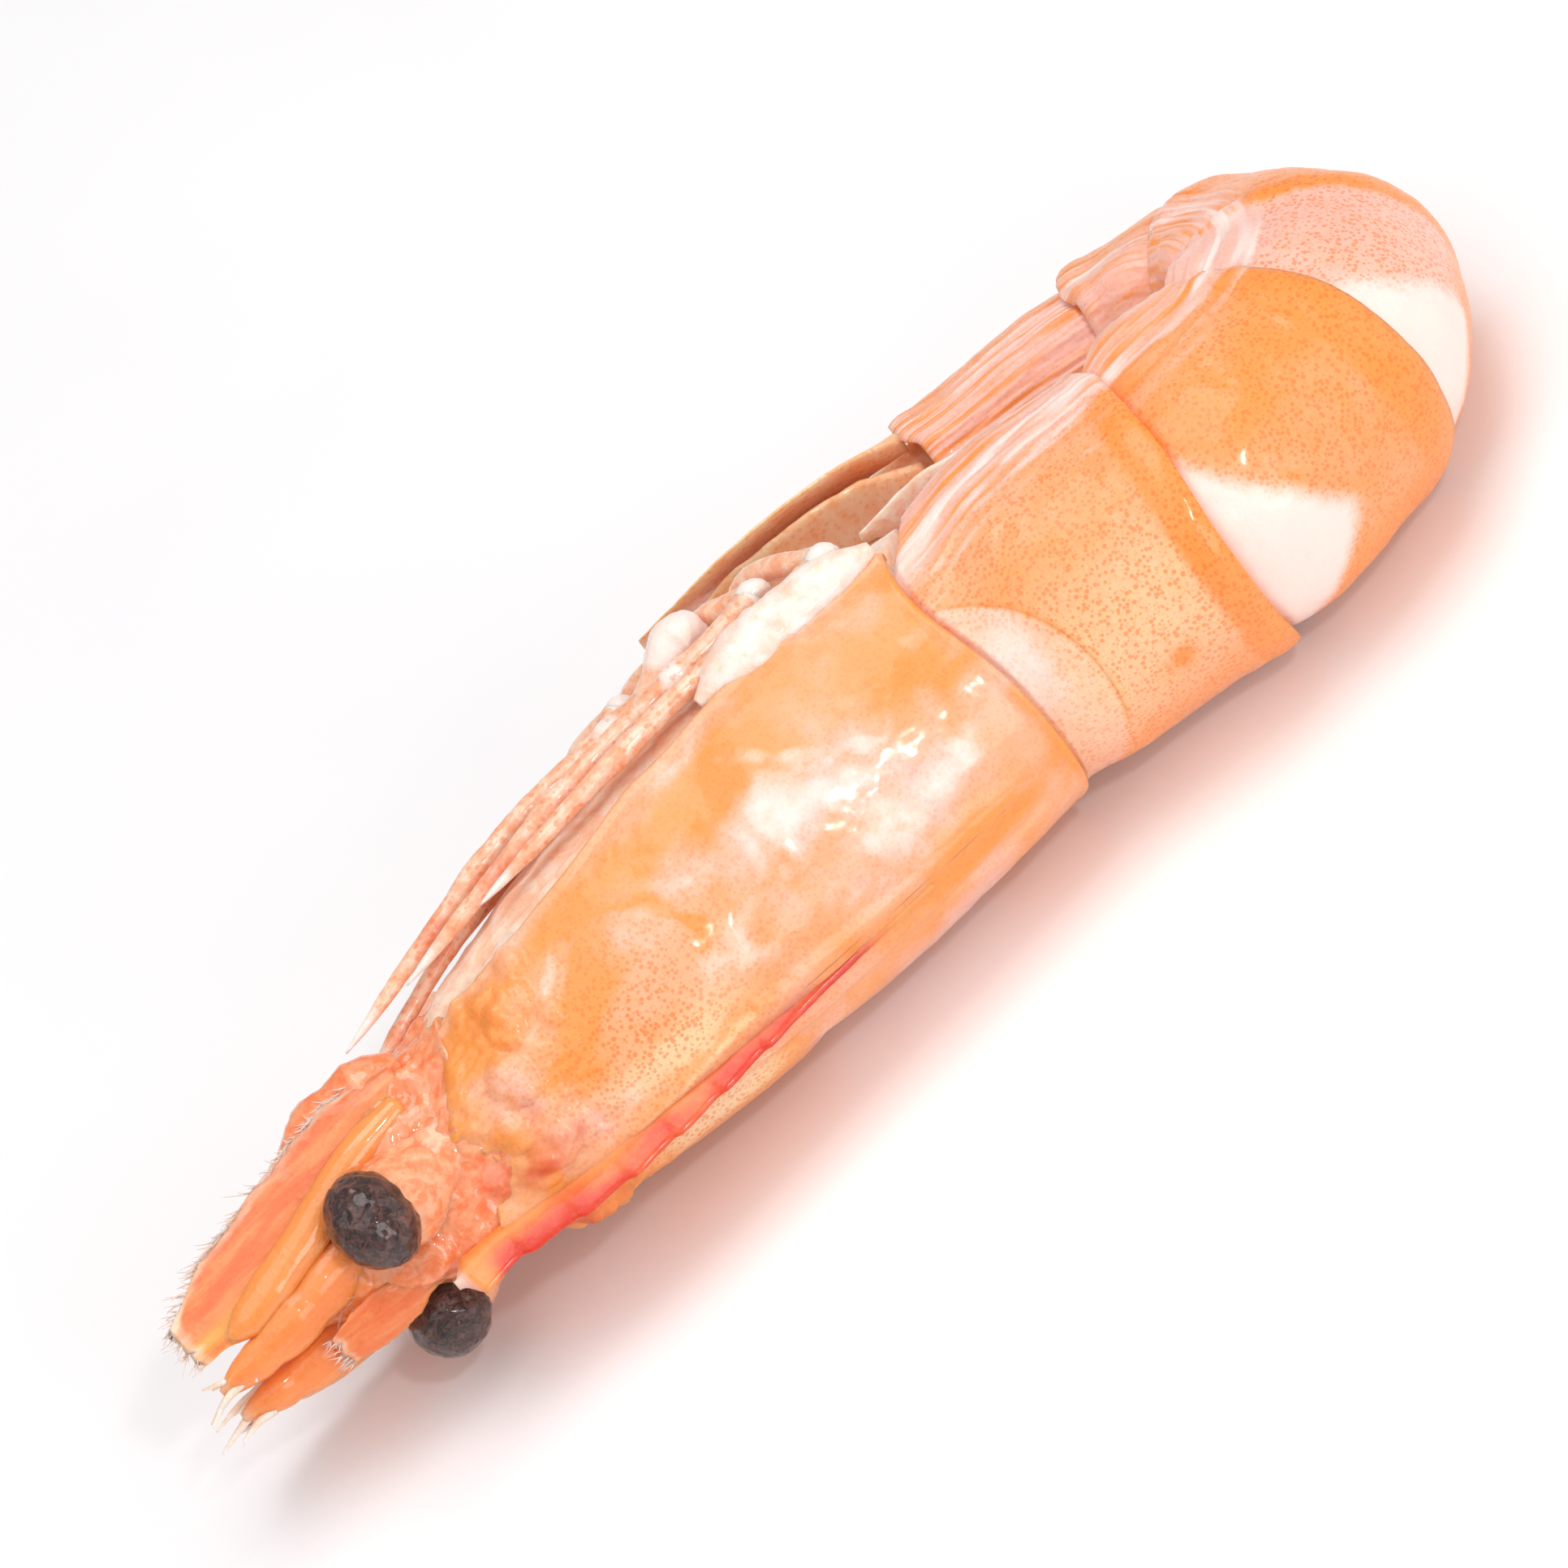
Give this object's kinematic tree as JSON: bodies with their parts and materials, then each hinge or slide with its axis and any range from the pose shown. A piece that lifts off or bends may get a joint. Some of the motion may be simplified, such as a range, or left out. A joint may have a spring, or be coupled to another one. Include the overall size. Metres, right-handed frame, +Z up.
{
  "type": "whole cooked prawn with its head and shell on",
  "caption": "Whole cooked prawn lying on its side with the tail curled under: smooth head shell with a toothed keel, banded abdomen, tail fan, dark stalked eyes, folded legs and swimmerets.",
  "frame": {"origin": "middle of the underside of the bounding box, on the surface the prawn lies on", "axes": "-X towards the head, -Y towards the back, +Z up through the right flank"},
  "size_m": [0.0976, 0.0376, 0.0208],
  "materials": {
    "shell": "wet gloss, orange speckles on pale shell",
    "head": "wet gloss, translucent orange",
    "eye": "wrinkled wet gloss",
    "limb": "satin, pinkish orange",
    "swimmeret": "satin, pale pink"
  },
  "bodies": {
    "root": {"abdomen_1": "shell", "abdomen_2": "shell", "abdomen_3": "shell", "abdomen_4": "shell", "abdomen_5": "shell", "abdomen_6": "shell", "antennal_base_left": "head", "antennal_base_right": "head", "antennal_scale_left": "head", "antennal_scale_right": "head", "antennule_left": "head", "antennule_right": "head", "carapace": "shell", "eye_left": "eye", "eye_right": "eye", "head_core": "head", "head_leaf": "head", "leg_left_1": "limb", "leg_left_2": "limb", "leg_left_3": "limb", "leg_left_4": "limb", "leg_left_5": "limb", "leg_right_1": "limb", "leg_right_2": "limb", "leg_right_3": "limb", "leg_right_4": "limb", "leg_right_5": "limb", "mouth_limb_left": "limb", "mouth_limb_right": "limb", "swimmeret_left_1": "swimmeret", "swimmeret_left_2": "swimmeret", "swimmeret_right_1": "swimmeret", "swimmeret_right_2": "swimmeret", "telson": "shell", "uropod_inner_left": "shell", "uropod_inner_right": "shell", "uropod_outer_left": "shell", "uropod_outer_right": "shell"}
  },
  "joints": []
}
